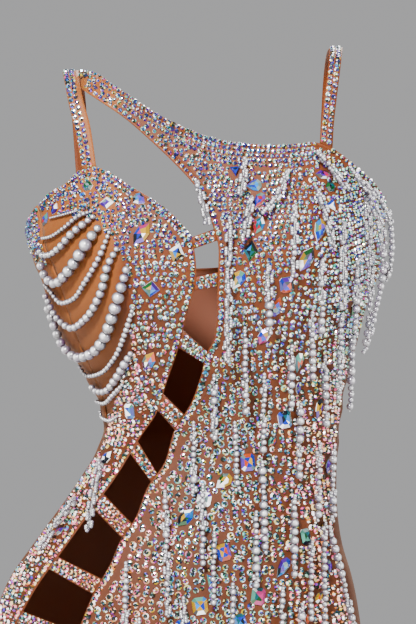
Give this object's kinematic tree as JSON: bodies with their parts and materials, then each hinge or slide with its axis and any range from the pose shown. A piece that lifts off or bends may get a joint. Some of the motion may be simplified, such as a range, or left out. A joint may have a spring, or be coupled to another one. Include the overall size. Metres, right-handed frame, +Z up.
{
  "type": "latin dance dress",
  "caption": "Short fitted dance dress with a one-sided diagonal neckline, a laddered side cutout, crystal straps, pearl swags and hanging pearl fringe.",
  "frame": {"origin": "middle of the shoulder line, where the wearer's shoulders carry the straps", "axes": "+Z up along the wearer's height, -Y out of the front, +X to the wearer's left"},
  "size_m": [0.3848, 0.2448, 0.7314],
  "materials": {
    "stretch_mesh": "fine nude-tan stretch mesh",
    "binding": "folded stretch binding with a soft sheen",
    "pearl": "iridescent white pearl",
    "crystal": "foiled cut crystal with a rainbow coat"
  },
  "bodies": {
    "root": {"front_panel": "stretch_mesh", "left_cup": "stretch_mesh", "back_panel": "stretch_mesh", "strap_left": "binding", "strap_right": "binding", "ladder_strap_1": "binding", "ladder_strap_2": "binding", "ladder_strap_3": "binding", "ladder_strap_4": "binding", "ladder_strap_5": "binding", "ladder_strap_6": "binding", "ladder_strap_7": "binding", "ladder_strap_8": "binding", "ladder_strap_9": "binding", "pearl_swags": "pearl", "fringe_neckline": "pearl", "fringe_armhole": "pearl", "fringe_bust": "pearl", "fringe_underbust": "pearl", "fringe_ribs": "pearl", "fringe_waist": "pearl", "fringe_waist_low": "pearl", "fringe_high_hip": "pearl", "fringe_hip": "pearl", "fringe_low_hip": "pearl", "fringe_thigh": "pearl", "fringe_upper_skirt": "pearl", "fringe_lower_skirt": "pearl", "fringe_side_strip": "pearl", "fringe_cutout": "pearl"}
  },
  "joints": []
}
